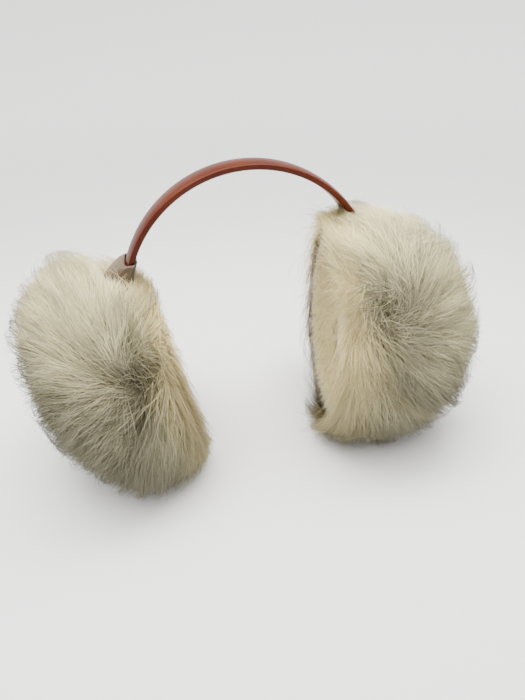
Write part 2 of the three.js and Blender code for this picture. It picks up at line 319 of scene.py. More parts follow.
def fur_material(finish: FurFinish) -> Material:
    """Makes the hair's material, which reads the strands' own attributes.

    Args:
        finish: the hair's colours.

    Returns:
        The material.
    """
    tree = NodeTree("fur_hair")
    along = tree.attribute("along", "Fac")
    tint = tree.add("ShaderNodeSeparateXYZ")
    tree.link(tree.attribute("tint", "Vector"), tint.inputs["Vector"])
    middle, tip = (finish.middle_at, finish.middle), (finish.tip_at, finish.tip)
    cream = tree.ramp(along, [(0.0, finish.root), middle, tip])
    # Grey ramp: painted shade and each hair's own greyness
    grey = tree.ramp(along, [(0.0, finish.grey_root), (finish.grey_tip_at, finish.grey_tip)])
    warm = tree.ramp(along, [(0.0, finish.root), (finish.warm_at, finish.warm)])
    # Painted shade: the wisps' tips turn grey towards their ends, added to the greyness, which also holds painted
    # shade low down and at the parting
    tip_share = tree.maths("POWER", along, finish.wisp_grey_power)
    tip_painted_shade = tree.maths("MULTIPLY", tint.outputs["Z"], tip_share)
    greyness = tree.maths("MULTIPLY_ADD", tip_painted_shade, finish.wisp_grey, tint.outputs["X"], use_clamp=True)
    colour = tree.mix("RGBA", tint.outputs["Y"], tree.mix("RGBA", greyness, cream, grey), warm)
    flat = tree.add("ShaderNodeNewGeometry").outputs["Normal"]
    normal = tree.mix("VECTOR", finish.nap_share, flat, tree.attribute("nap", "Vector"))
    tree.link(colour, tree.shader.inputs["Base Color"])
    tree.link(normal, tree.shader.inputs["Normal"])
    tree.shade({"Roughness": finish.roughness, "Specular IOR Level": finish.specular})
    glow = tree.add("ShaderNodeBsdfTranslucent")
    tree.link(colour, glow.inputs["Color"])
    mix = tree.add("ShaderNodeMixShader")
    mix.inputs["Fac"].default_value = finish.translucency
    tree.link(tree.shader.outputs["BSDF"], mix.inputs[1])
    tree.link(glow.outputs["BSDF"], mix.inputs[2])
    tree.link(mix.outputs["Shader"], tree.output.inputs["Surface"])
    return tree.material


def leather_material(name: str, finish: LeatherFinish) -> Material:
    """Makes a leather with soft blotches and a fine grain.

    Args:
        name: the material's name.
        finish: its colours, gloss and grain.

    Returns:
        The material.
    """
    tree = NodeTree(name)
    stops = [(finish.base_until, finish.base), (finish.worn_from, finish.worn)]
    tree.link(tree.ramp(tree.noise(finish.blotches_per_metre), stops), tree.shader.inputs["Base Color"])
    tree.bump(tree.noise(finish.grain_per_metre, finish.grain_detail), finish.grain_height)
    tree.shade({
        "Roughness": finish.roughness,
        "Specular IOR Level": finish.specular,
        "Coat Weight": finish.coat,
        "Coat Roughness": finish.roughness * finish.coat_smoothness,
    })
    return tree.material


def plush_material(name: str, finish: PlushFinish) -> Material:
    """Makes a short plush with a fine pile.

    Args:
        name: the material's name.
        finish: its colour and pile.

    Returns:
        The material.
    """
    tree = NodeTree(name)
    dark = tuple(finish.cloud_shade * value for value in finish.base)
    stops = list(zip(finish.clouds_between, (dark, finish.base)))
    tree.link(tree.ramp(tree.noise(finish.clouds_per_metre), stops), tree.shader.inputs["Base Color"])
    tree.bump(tree.noise(finish.pile_per_metre, finish.pile_detail), finish.pile_height)
    tree.shade({"Roughness": finish.roughness, "Sheen Weight": finish.sheen})
    return tree.material


# Shapes


def add_object(name: str, data: bpy.types.ID | None) -> Piece:
    """Makes an object of a mesh, a light or a camera and puts it in the scene.

    Args:
        name: the object's name.
        data: what it shows.

    Returns:
        The object.
    """
    made = bpy.data.objects.new(name, data)
    bpy.context.scene.collection.objects.link(made)
    return made


def shade_smooth(piece: Piece) -> None:
    """Shades all of a piece's faces smooth."""
    faces = piece.data.polygons
    faces.foreach_set("use_smooth", np.full(len(faces), True))


def mesh_object(name: str, vertices: Array, faces: Array) -> Piece:
    """Makes an object from arrays, in metres.

    Args:
        name: the object's name.
        vertices: an array of points.
        faces: an array of faces with the same number of corners each.

    Returns:
        The object, in the scene.
    """
    mesh = bpy.data.meshes.new(name)
    mesh.vertices.add(len(vertices))
    mesh.vertices.foreach_set("co", vertices.astype(np.float32).ravel())
    mesh.loops.add(faces.size)
    mesh.loops.foreach_set("vertex_index", faces.astype(np.int32).ravel())
    mesh.polygons.add(len(faces))
    mesh.polygons.foreach_set("loop_start", np.arange(0, faces.size, faces.shape[1], dtype=np.int32))
    mesh.update(calc_edges=True)
    mesh.validate()
    piece = add_object(name, mesh)
    shade_smooth(piece)
    return piece


def add_attribute(piece: Piece, name: str, values: Array) -> None:
    """Stores a number or a vector for each vertex of a piece.

    Args:
        piece: the object.
        name: the attribute's name.
        values: one row for each vertex.
    """
    kind, field = ("FLOAT", "value") if values.ndim == 1 else ("FLOAT_VECTOR", "vector")
    attribute = piece.data.attributes.new(name, kind, "POINT")
    attribute.data.foreach_set(field, values.astype(np.float32).ravel())


def unit(vectors: Array) -> Array:
    """The vectors along the last axis, each with length 1."""
    return vectors / np.maximum(np.linalg.norm(vectors, axis=-1, keepdims=True), TINY)


def ring_faces(rows: int, columns: int) -> Array:
    """Quads between rings of vertices, closed round each ring.

    Args:
        rows: how many rings there are.
        columns: how many vertices a ring has.

    Returns:
        The quads.
    """
    row, column = np.meshgrid(np.arange(rows - 1), np.arange(columns), indexing="ij")
    here = row * columns + column
    beside = row * columns + (column + 1) % columns
    return np.stack([here, beside, beside + columns, here + columns], axis=-1).reshape(-1, 4)


def rework(piece: Piece, change: Callable[[bmesh.types.BMesh], object]) -> None:
    """Changes a piece's mesh, turns its faces outwards and shades them smooth.

    Args:
        piece: the object.
        change: what is done to its mesh.
    """
    work = bmesh.new()
    work.from_mesh(piece.data)
    change(work)
    bmesh.ops.recalc_face_normals(work, faces=work.faces)
    work.to_mesh(piece.data)
    work.free()
    shade_smooth(piece)


def close_ends(work: bmesh.types.BMesh, columns: int) -> None:
    """Fills the first and last ring of a swept mesh.

    Args:
        work: the swept mesh.
        columns: how many vertices a ring has.
    """
    work.verts.ensure_lookup_table()
    for first in (0, len(work.verts) - columns):
        work.faces.new([work.verts[i] for i in range(first, first + columns)])


@dataclass(frozen=True)
class Layout:
    """Where the forms lie in the frame, in millimetres, read from the CAD solids."""

    band_y: float
    band_top: float
    half_span: float
    band_width: float
    band_thickness: float

    @classmethod
    def from_frame(cls) -> "Layout":
        """Reads the band's place from its CAD node."""
        low, high = (np.array(corner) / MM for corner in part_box("headband"))
        return cls((low[1] + high[1]) / 2, high[2], high[0], high[1] - low[1], BAND_THICKNESS)

    @property
    def hollow_centre(self) -> Array:
        """The middle of the hollow between the muffs."""
        return np.array([0.0, self.band_y + HOLLOW_BEHIND_BAND, self.band_top - HOLLOW_BELOW_BAND_TOP])

    @property
    def collar_top(self) -> float:
        """The height of the collars' rims."""
        return self.band_top - COLLAR_BELOW_BAND_TOP

    @property
    def arch_base(self) -> float:
        """The height at which the band's legs end and its arch begins."""
        return self.band_top - ARCH_RISE

    def band_x(self, height: Array | float) -> Array | float:
        """The middle of the band's thickness where X is positive.

        Args:
            height: one height, or many.

        Returns:
            The X at each height.
        """
        centre = self.half_span - self.band_thickness / 2
        rise = np.clip((height - self.arch_base) / (ARCH_RISE - self.band_thickness / 2), 0.0, 1.0)
        return centre * np.sqrt(1 - rise * rise)


@dataclass
class Headband:
    """The leather headband: crowned outside, flat inside, with rolled edges.

    Lengths are in millimetres. A reach is a share of the half width, and edge_depth one of the half thickness.
    """

    layout: Layout
    finish: LeatherFinish
    crown: float = 1.5
    crown_power: float = 2.4
    outer_points: int = 17
    outer_edge: float = 0.42
    inner_points: int = 9
    inner_reach: float = 0.9
    inner_edge: float = 0.15
    edge_reach: float = 0.985
    edge_depth: float = 0.55
    steps: int = 150
    leg_steps: int = 14

    def section(self) -> Array:
        """The closed outline of the band's section.

        Returns:
            Rows of places across the band and outwards from its middle.
        """
        half = self.layout.band_width / 2
        thick = self.layout.band_thickness / 2
        across = np.sin(np.linspace(-1, 1, self.outer_points) * math.pi / 2)
        outside = thick - self.crown * np.abs(across) ** self.crown_power
        outside[[0, -1]] -= self.outer_edge
        inside = np.full(self.inner_points, -thick)
        inside[[0, -1]] += self.inner_edge
        inside_across = np.linspace(self.inner_reach, -self.inner_reach, self.inner_points)
        rows = [(half * a, o) for a, o in zip(across, outside)]
        rows.append((half * self.edge_reach, -thick * self.edge_depth))
        rows += [(half * a, o) for a, o in zip(inside_across, inside)]
        rows.append((-half * self.edge_reach, -thick * self.edge_depth))
        return np.array(rows)

    def path(self) -> tuple[Array, Array]:
        """The way of the band's middle, up one leg, over the arch and down the other leg.

        Returns:
            Points in X and Z, and the outward direction at each of them.
        """
        lay = self.layout
        centre = lay.half_span - lay.band_thickness / 2
        rise = ARCH_RISE - lay.band_thickness / 2
        foot = lay.arch_base - BAND_LEG_LENGTH
        angle = np.linspace(math.pi, 0, self.steps)
        arch = np.stack([centre * np.cos(angle), lay.arch_base + rise * np.sin(angle)], axis=1)
        outward = unit(np.stack([np.cos(angle) / centre, np.sin(angle) / rise], axis=1))
        climb = np.linspace(foot, lay.arch_base, self.leg_steps, endpoint=False)
        right_leg = np.stack([np.full_like(climb, -centre), climb], axis=1)
        left_leg = np.stack([np.full_like(climb, centre), climb[::-1]], axis=1)
        legs_out = np.tile([1.0, 0.0], (self.leg_steps, 1))
        return np.vstack([right_leg, arch, left_leg]), np.vstack([-legs_out, outward, legs_out])

    def build(self) -> Piece:
        """Sweeps the section along the path and closes both ends.

        Returns:
            The band's object.
        """
        section = self.section()
        points, outward = self.path()
        across = np.full((len(points), len(section)), self.layout.band_y) + section[:, 0]
        x = points[:, :1] + outward[:, :1] * section[:, 1]
        z = points[:, 1:] + outward[:, 1:] * section[:, 1]
        vertices = np.stack([x, across, z], axis=-1).reshape(-1, 3) * MM
        piece = mesh_object("band_leather", vertices, ring_faces(len(points), len(section)))
        rework(piece, lambda work: close_ends(work, len(section)))
        piece.data.materials.append(leather_material("band_leather", self.finish))
        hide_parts("headband")
        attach(piece, "root")
        LOG.info("headband: %d faces", len(piece.data.polygons))
        return piece


@dataclass
class Collar:
    """The gathered leather collar where the band goes into a muff, in millimetres."""

    layout: Layout
    side: Side
    material: Material
    pleats: int = 13
    pleat_depth: float = 1.0
    rim_pleats: float = 0.35
    foot_pleats: float = 0.65
    pleat_twist: float = 0.9
    puckers: int = 7
    pucker_depth: float = 0.25
    pucker_twist: float = 5.0
    rim_roundness: float = 0.42
    foot_roundness: float = 0.4
    play: float = 0.5
    wall: float = 1.4
    levels: int = 20
    around: int = 156

    def build(self) -> Piece:
        """Makes the pleated wall, rolled over its rim and foot, as one closed ring.

        Returns:
            The collar's object.
        """
        rings = [self.ring(share, 1.0) for share in np.linspace(1, 0, self.levels)]
        rings += [self.ring(share, 0.0) for share in np.linspace(0, 1, self.levels)]
        vertices = self.side.mirror(np.vstack(rings))
        vertices[:, 1] += self.layout.band_y
        faces = ring_faces(len(rings) + 1, self.around) % len(vertices)
        piece = mesh_object(f"{self.side.label}_collar_leather", vertices * MM, faces)
        rework(piece, lambda work: bmesh.ops.remove_doubles(work, verts=work.verts, dist=SEAM_METRES))
        piece.data.materials.append(self.material)
        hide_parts(f"{self.side.label}_collar")
        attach(piece, "root")
        LOG.info("%s: %d faces", piece.name, len(piece.data.polygons))
        return piece

    def ring(self, share: float, wall: float) -> Array:
        """One ring of the collar's wall.

        Args:
            share: 0 at the rim and 1 at the foot.
            wall: 1 on the outer wall and 0 on the inner one.

        Returns:
            The ring's points, about the band's middle plane.
        """
        angle = np.linspace(0, 2 * math.pi, self.around, endpoint=False)
        height = self.layout.collar_top - COLLAR_LENGTH * share
        flare = share ** COLLAR_FLARE_SUDDENNESS
        x_half = self.layout.band_thickness / 2 + self.play + self.wall * wall + COLLAR_FLARE_OUT / 2 * flare
        y_half = self.layout.band_width / 2 + self.play + self.wall * wall + COLLAR_FLARE_SIDE * flare
        roundness = self.rim_roundness + self.foot_roundness * share
        depth = self.pleat_depth * (self.rim_pleats + self.foot_pleats * share) * wall
        fold = (np.cos(self.pleats * angle + self.pleat_twist * share) - 1) / 2
        pucker = self.pucker_depth * np.sin(self.puckers * angle + self.pucker_twist * share) * share * wall
        x, y = ((half + depth * fold + pucker) * np.sign(turn) * np.abs(turn) ** roundness
                for half, turn in ((x_half, np.cos(angle)), (y_half, np.sin(angle))))
        x = x + self.layout.band_x(height) + COLLAR_FLARE_OUT / 2 * flare
        return np.stack([x, y, np.full_like(x, height)], axis=1)


@dataclass
class EarPad:
    """The stuffed plush pad inside a muff, in metres."""

    side: Side
    material: Material
    sides: int = 72
    less_radius: float = 0.002
    less_depth: float = 0.0025
    voxel: float = 0.0035
    pressure: float = 4.0
    most_swell: float = 0.0022
    frames: int = 20
    smoothing: float = 0.5
    smooth_rounds: int = 6

    def build(self) -> Piece:
        """Swells a disc a little smaller than the CAD pad, which keeps to the same space.

        Returns:
            The pad's object.
        """
        low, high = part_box(f"{self.side.label}_ear_pad")
        centre = (low + high) / 2
        radius = (high.z - low.z) / 2 - self.less_radius
        depth = high.x - low.x - self.less_depth
        bpy.ops.object.select_all(action="DESELECT")
        bpy.ops.mesh.primitive_cylinder_add(vertices=self.sides, radius=radius, depth=depth)
        piece = bpy.context.object
        piece.name = f"{self.side.label}_ear_pad_plush"
        piece.data.transform(Matrix.Translation(centre) @ Matrix.Rotation(math.pi / 2, 4, "Y"))
        self.remesh(piece)
        self.swell(piece)
        self.finish(piece, low, high)
        return piece

    def remesh(self, piece: Piece) -> None:
        """Gives the disc an even net of small faces.

        Args:
            piece: the disc.
        """
        remesh = piece.modifiers.new("net", "REMESH")
        remesh.mode = "VOXEL"
        remesh.voxel_size = self.voxel
        remesh.use_smooth_shade = True
        apply_modifiers(piece)

    def swell(self, piece: Piece) -> None:
        """Blows the disc up as cloth, with each point's way capped.

        Args:
            piece: the disc.
        """
        start = points_of(piece)
        cloth = piece.modifiers.new("cloth", "CLOTH")
        cloth.settings.use_pressure = True
        cloth.settings.uniform_pressure_force = self.pressure
        cloth.settings.effector_weights.gravity = 0.0
        scene = bpy.context.scene
        for frame in range(1, self.frames + 1):
            scene.frame_set(frame)
        apply_modifiers(piece)
        moved = points_of(piece) - start
        length = np.linalg.norm(moved, axis=1, keepdims=True)
        moved *= np.minimum(1.0, self.most_swell / np.maximum(length, TINY))
        set_points(piece, start + moved)
        scene.frame_set(1)

    def finish(self, piece: Piece, low: Vector, high: Vector) -> None:
        """Smooths the pad, keeps it in its CAD box and hands it to the frame.

        Args:
            piece: the pad.
            low: the CAD box's low corner.
            high: the CAD box's high corner.
        """
        smooth = piece.modifiers.new("smooth", "SMOOTH")
        smooth.factor = self.smoothing
        smooth.iterations = self.smooth_rounds
        divide = piece.modifiers.new("finer", "SUBSURF")
        divide.levels = 1
        divide.render_levels = 1
        apply_modifiers(piece)
        set_points(piece, np.clip(points_of(piece), np.array(low), np.array(high)))
        shade_smooth(piece)
        piece.data.materials.clear()
        piece.data.materials.append(self.material)
        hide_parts(f"{self.side.label}_ear_pad")
        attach(piece, "root")
        LOG.info("%s: %d faces", piece.name, len(piece.data.polygons))


def apply_modifiers(piece: Piece) -> None:
    """Bakes a piece's modifiers into its mesh.

    Args:
        piece: the object.
    """
    graph = bpy.context.evaluated_depsgraph_get()
    made = bpy.data.meshes.new_from_object(piece.evaluated_get(graph))
    piece.modifiers.clear()
    piece.data = made


def points_of(piece: Piece) -> Array:
    """The places of a piece's vertices.

    Args:
        piece: the object.

    Returns:
        A row for each vertex.
    """
    values = np.zeros(len(piece.data.vertices) * 3, np.float32)
    piece.data.vertices.foreach_get("co", values)
    return values.reshape(-1, 3).astype(float)


def set_points(piece: Piece, points: Array) -> None:
    """Moves a piece's vertices to new places."""
    piece.data.vertices.foreach_set("co", points.astype(np.float32).ravel())
    piece.data.update()


# Fur


@dataclass(frozen=True)
class Coat:
    """One coat of a muff's fur, in millimetres. Depths are measured from the round that the fur fills."""

    name: str
    strands: int
    segments: int
    root_width: float
    length: float
    length_scatter: float
    root_depth: float
    tip_depth: float
    tip_scatter: float
    clump: float
    wave: float
    rise_power: float
    stray_share: float
    stray_rise: float
    greyness: float
    locks: int
    beside_hollow: bool = False


# The wisps' greyness is painted shade on the fringe; the rim hair's negative greyness makes it paler
COATS = (
    Coat("undercoat", 22500, 3, 0.44, 26.0, 0.25, 13.0, 1.5, 2.0, 0.40, 1.2, 1.5, 0.0, 0.0, 0.0, 3600),
    Coat("guard_hair", 19500, 5, 0.27, 43.0, 0.22, 12.0, -1.5, 2.2, 0.42, 2.4, 1.25, 0.10, 4.0, 0.0, 3600),
    Coat("wisps", 10500, 5, 0.36, 50.0, 0.22, 10.0, -7.5, 2.0, 0.96, 4.0, 1.0, 0.12, 3.0, 0.22, 380),
    Coat("rim_hair", 3600, 4, 0.27, 26.0, 0.30, 7.0, -2.0, 2.5, 0.35, 1.5, 1.2, 0.10, 3.0, -0.1, 400, True),
)


@dataclass(frozen=True)
class Pile:
    """The short pile on the hollow's wall, in millimetres.

    Of many tries, those stay that give an even cover: thinning is the square of a far wall's distance.
    """

    strands: int = 10500
    tries: int = 40
    farthest: float = 200.0
    thinning: float = 30000.0
    most_slant: float = 0.1
    edge_depth: float = 2.5
    under_pad: float = 3.0
    above_floor: float = 1.0
    scatter: float = 0.55
    lengths: Pair = (5.0, 8.0)
    root_rise: float = 0.5
    tip_rise: float = 2.8
    rise_power: float = 0.8
    rise_scatter: Pair = (0.7, 1.2)
    lowest: float = 0.5
    greyness: float = 0.12
    grey_scatter: float = 0.08
    warmth: float = 0.4
    root_shade: float = 0.3
    root_width: float = 0.55


@dataclass(frozen=True)
class MuffForm:
    """The round that a muff's fur fills where X is positive, in millimetres and degrees."""

    centre_x: float
    centre_height: float
    half_thickness: float
    lean: float
    parting_up: float
    parting_in: float
    clearing: Triple
    clearing_radii: Triple
    # Where the painted shade low down begins, by how far up the skin's outward way points
    grey_from: float


# A clearing is a place without hair at the collar, from the band's plane and the collar's rim
# The painted shade low down reaches higher on the right muff than on the left
FORMS = {
    Side.LEFT: MuffForm(75.0, 75.0, 69.0, -6.0, 30.0, 4.0, (74.0, 0.0, -6.0), (8.0, 11.0, 8.0), 0.5),
    Side.RIGHT: MuffForm(87.5, 65.0, 50.0, 22.0, 19.0, 35.0, (80.5, 0.0, -3.0), (11.0, 14.5, 11.0), 0.72),
}
SEEDS = {Side.LEFT: 11, Side.RIGHT: 42}
SWIRL_SEED = 17
PILE_SEED = 99


@dataclass
class Muff:
    """One muff's fur: its body under the hair, and the hair in coats, combed from the parting.

    Lengths are in millimetres, turns and spreads in radians, and the rest are shares or counts.
    """

    layout: Layout
    side: Side
    hair: Material
    plush: Material

    # The body under the hair, seen from a point inside it
    body_depth: float = 12.5
    rim_depth: float = 4.5
    lip: float = 0.06
    eye_out: float = 16.0
    wall_gap: float = 0.4
    floor_gap: float = 0.4
    pole_gap: float = 0.02
    rows_outside: int = 56
    rows_inside: int = 34
    columns: int = 128
    rim_search: Triple = (0.3, math.pi - 0.05, 500)

    # Where hair grows
    hollow_check: Pair = (5.0, -1.0)
    floor_check: Pair = (1.5, -1.0)
    beside_spread: float = 14.0
    rim_share: float = 0.75

    # The parting, the whorl round it and the turns of the comb
    dent: float = 8.0
    dent_spread: float = 0.24
    whorl_turn: float = 0.8
    whorl_spread: float = 0.5
    swirl_turn: float = 0.15
    swirl_waves: int = 5
    swirl_pace: float = 2.6
    mess_turn: float = 0.9
    far_mess_spread: float = 0.45
    rim_mess_turn: float = 0.45
    short_share: float = 0.5
    short_spread: float = 0.32

    # Tufts, the locks in them and the hairs in these
    tufts: int = 130
    tuft_unevenness: float = 3.4
    tuft_pull: float = 0.68
    tuft_radius: float = 14.0
    lock_unevenness: float = 1.2
    lock_radius: float = 4.0
    lock_scatter: float = 0.22
    lock_mess: float = 0.5
    lock_turn: float = 0.7
    lock_turn_spread: float = 0.42
    lock_sizes: Pair = (0.8, 1.15)
    pull_power: float = 1.2
    hair_turn: float = 0.85
    hair_scatter: float = 0.10
    clings: Pair = (0.75, 1.1)
    stray_cling: float = 0.8
    loose_gain: float = 1.2
    loose_spread: float = 0.25
    wave_turn: float = 4.2
    wave_scatter: float = 0.5
    sag: float = 2.0
    rim_root_share: float = 0.4

    # Where hair is held, laid down, parted and cut
    far: float = 1.05
    hold: float = 0.5
    give: Pair = (0.15, 0.5)
    hollow_level: Pair = (0.93, 0.07)
    lift: Pair = (0.3, 3.0)
    band_gap: float = 1.0
    band_fade: float = 5.0
    shortest: float = 0.3

    # Ribbons and their colours, with painted shade low down, at the parting and on the wisps' tips
    twist: float = 0.7
    taper: float = 0.85
    taper_power: float = 1.5
    rounding: float = 0.55
    # Coats whose tips stand out past this depth get painted shade towards their tips
    wispy_depth: float = -5.0
    pale_rim: float = 24.0
    rim_pale: float = 0.75
    low_less_pale: float = 0.3
    dark_spread: float = 0.4
    # The body's colour on the hair's ramp: dark as the roots, painted shade in the gaps between locks
    skin_shade: float = 0.15
    sole_shade: float = 0.4
    low_fade: float = 0.85
    # Painted shade: greyer hair low down and at the parting, for the shade that falls there
    low_grey: float = 0.98
    parting_grey: float = 0.7
    grey_spread: float = 0.3
    warmth: float = 0.04
    rim_warmth: float = 0.6
    low_less_warm: float = 0.5
    lock_shade: float = 0.07
    hair_shade: float = 0.05

    @property
    def form(self) -> MuffForm:
        """The muff's sizes."""
        return FORMS[self.side]

    @property
    def centre(self) -> Array:
        """The middle of the muff's round."""
        return np.array([self.form.centre_x, self.layout.band_y - BAND_BEHIND_MUFFS, self.form.centre_height])

    @property
    def radii(self) -> Array:
        """The half axes of the muff's round."""
        return np.array([self.form.half_thickness, MUFF_HALF_DEPTH, MUFF_HALF_HEIGHT])

    @property
    def lean(self) -> Array:
        """The turn about Y that takes the muff's top outwards.

        Returns:
            A matrix of rotation.
        """
        angle = math.radians(self.form.lean)
        cosine, sine = math.cos(angle), math.sin(angle)
        return np.array([[cosine, 0.0, sine], [0.0, 1.0, 0.0], [-sine, 0.0, cosine]])

    @property
    def parting(self) -> Array:
        """The way from the muff's middle to its parting."""
        up, inwards = math.radians(self.form.parting_up), math.radians(self.form.parting_in)
        return np.array([-math.sin(inwards), -math.cos(inwards) * math.cos(up), math.cos(inwards) * math.sin(up)])

    def place(self, ways: Array, depth: Array | float) -> Array:
        """Points at depths under the muff's round, along ways from its middle."""
        depth = np.asarray(depth)[..., None]
        return (ways * (self.radii - depth)) @ self.lean.T + self.centre

    def outward(self, points: Array) -> Array:
        """The way out of the fur at points."""
        return unit((((points - self.centre) @ self.lean) / self.radii ** 2) @ self.lean.T)

    def comb(self, ways: Array) -> Array:
        """The combed direction on the muff's round, away from the parting."""
        return unit(ways * (ways @ self.parting)[..., None] - self.parting)

    def swirl(self, ways: Array) -> Array:
        """A smooth turn of the comb that differs over the muff.

        Args:
            ways: ways from the muff's middle.

        Returns:
            The turn at each of them, in radians.
        """
        rng = np.random.default_rng(self.seed + SWIRL_SEED)
        waves = rng.normal(0, self.swirl_pace, (self.swirl_waves, 3))
        phases = rng.uniform(0, 2 * math.pi, self.swirl_waves)
        whorl = self.whorl_turn * self.near_parting(ways, self.whorl_spread)
        return whorl + self.swirl_turn * np.sin(ways @ waves.T + phases).sum(-1)

    def near_parting(self, ways: Array, spread: float) -> Array:
        """1 at the parting, falling to 0 round it."""
        angle = np.arccos(np.clip(ways @ self.parting, -1, 1))
        return np.exp(-((angle / spread) ** 2))

    def mess(self, ways: Array) -> Array:
        """How far hair may turn from the comb: at the parting, opposite it and by the hollow.

        Args:
            ways: ways from the muff's middle.

        Returns:
            The turn at each of them, in radians.
        """
        here = self.mess_turn * self.near_parting(ways, self.dent_spread)
        opposite = self.mess_turn * self.near_parting(-ways, self.far_mess_spread)
        return here + opposite + self.rim_mess_turn * self.beside(ways)

    def beside(self, ways: Array) -> Array:
        """1 beside the hollow, falling to 0 away from it."""
        distance = np.maximum(self.hollow_distance(self.place(ways, 0.0)), 0)
        return np.exp(-(distance / self.beside_spread) ** 2)

    def hollow_distance(self, points: Array) -> Array:
        """How far points lie outside the hollow, roughly."""
        inside = (points - self.layout.hollow_centre) / HOLLOW_RADII
        return (np.linalg.norm(inside, axis=-1) - 1) * HOLLOW_RADII.mean()

    def fade_from_hollow(self, points: Array) -> Array:
        """1 at the hollow's wall, falling to 0 over the width of the pale rim."""
        return np.exp(-(np.maximum(self.hollow_distance(points), 0) / self.pale_rim) ** 2)

    def shorter(self, ways: Array) -> Array:
        """The share of its length that hair has, which is less at the parting."""
        return 1 - self.short_share * self.near_parting(ways, self.short_spread)

    def scattered_ways(self, count: int, rng: np.random.Generator, beside_hollow: bool = False) -> Array:
        """Random ways from the muff's middle to where hair grows.

        Args:
            count: how many are wanted.
            rng: the source of chance.
            beside_hollow: whether only ways to the hollow's rim are wanted.

        Returns:
            Unit vectors.
        """
        found = np.zeros((0, 3))
        while len(found) < count:
            ways = unit(rng.normal(size=(2 * count, 3)) / self.radii * self.radii.mean())
            in_hollow = self.hollow_distance(self.place(ways, self.hollow_check[0])) < self.hollow_check[1]
            below = self.place(ways, self.floor_check[0])[:, 2] < self.floor_check[1]
            wanted = self.beside(ways) > self.rim_share if beside_hollow else True
            found = np.vstack([found, ways[~in_hollow & ~below & wanted]])
        return found[:count]

    def paths(self, ways: Array, turn: Array, length: Array, depths: tuple[Array, Array], shares: Array,
              power: float) -> Array:
        """Curves of hair along the muff's round, from their roots to their tips.

        Args:
            ways: the ways to their roots.
            turn: how far each is turned from the comb.
            length: their lengths.
            depths: their depths at the root and at the tip.
            shares: the shares of the length at which points are wanted.
            power: how early they rise.

        Returns:
            An array of hairs by shares by coordinates.
        """
        comb = self.comb(ways)
        side = np.cross(ways, comb)
        along = comb * np.cos(turn)[:, None] + side * np.sin(turn)[:, None]
        swing = (length / self.radii.mean())[:, None] * shares
        way = ways[:, None] * np.cos(swing)[..., None] + along[:, None] * np.sin(swing)[..., None]
        root, tip = depths
        rise = 1 - (1 - shares) ** power
        depth = root[:, None] + (tip - root)[:, None] * rise
        return self.place(way, depth)

    def lay_down(self, points: Array, rng: np.random.Generator) -> Array:
        """Lays hair along the floor and the hollow instead of through them.

        Args:
            points: hairs by points by coordinates.
            rng: the source of chance.

        Returns:
            The hairs' new points.
        """
        chance = rng.uniform(0, 1, points.shape[:1])[:, None]
        softness = rng.uniform(*self.give, points.shape[:1])[:, None]
        level = self.hollow_level[0] + self.hollow_level[1] * chance
        points = push_out(points, self.layout.hollow_centre, HOLLOW_RADII, level, softness)
        lift = rng.uniform(*self.lift, points.shape[:1])[:, None]
        points[..., 2] = np.maximum(points[..., 2], lift)
        return points

    def hold_in(self, points: Array) -> Array:
        """Brings back part of what stands out too far from the muff's round.

        Args:
            points: hairs by points by coordinates.

        Returns:
            The hairs' new points.
        """
        ball = ((points - self.centre) @ self.lean) / self.radii
        far = np.linalg.norm(ball, axis=-1, keepdims=True)
        held = far - self.hold * np.maximum(far - self.far, 0)
        return (ball * held / far * self.radii) @ self.lean.T + self.centre

    def part_at_band(self, points: Array) -> Array:
        """Pushes hair sideways, to its root's side of the headband.

        Args:
            points: hairs by points by coordinates.

        Returns:
            The hairs' new points.
        """
        lay = self.layout
        beside = points[..., 0] - lay.band_x(points[..., 2])
        side = np.where(beside[:, :1] < 0, -1.0, 1.0)
        room = lay.band_thickness / 2 + self.band_gap
        off_edge = np.abs(points[..., 1] - lay.band_y) - lay.band_width / 2
        share = np.clip(1 - off_edge / self.band_fade, 0, 1) * (points[..., 2] > lay.collar_top)
        push = np.where(np.abs(beside) < 2 * room, np.clip(room - beside * side, 0, None), 0.0)
        points[..., 0] += side * push * share
        return points

    def trim(self, points: Array, shares: Array) -> tuple[Array, Array]:
        """Cuts hair short where it would enter the clearing at the collar.

        Args:
            points: hairs by points by coordinates.
            shares: the share of the length at each point.

        Returns:
            The hairs' new points, and which hairs are left.
        """
        form = self.form
        middle = np.array([form.clearing[0], self.layout.band_y, self.layout.collar_top + form.clearing[2]])
        inside = np.linalg.norm((points - middle) / np.array(form.clearing_radii), axis=-1) < 1
        first = np.where(inside.any(1), inside.argmax(1), len(shares))
        last = np.clip((first - 1) / (len(shares) - 1), 0, 1)
        spot = shares[None, :] * last[:, None] * (len(shares) - 1)
        low = np.clip(np.floor(spot).astype(int), 0, len(shares) - 2)
        part = (spot - low)[..., None]
        rows = np.arange(len(points))[:, None]
        return points[rows, low] * (1 - part) + points[rows, low + 1] * part, last > self.shortest

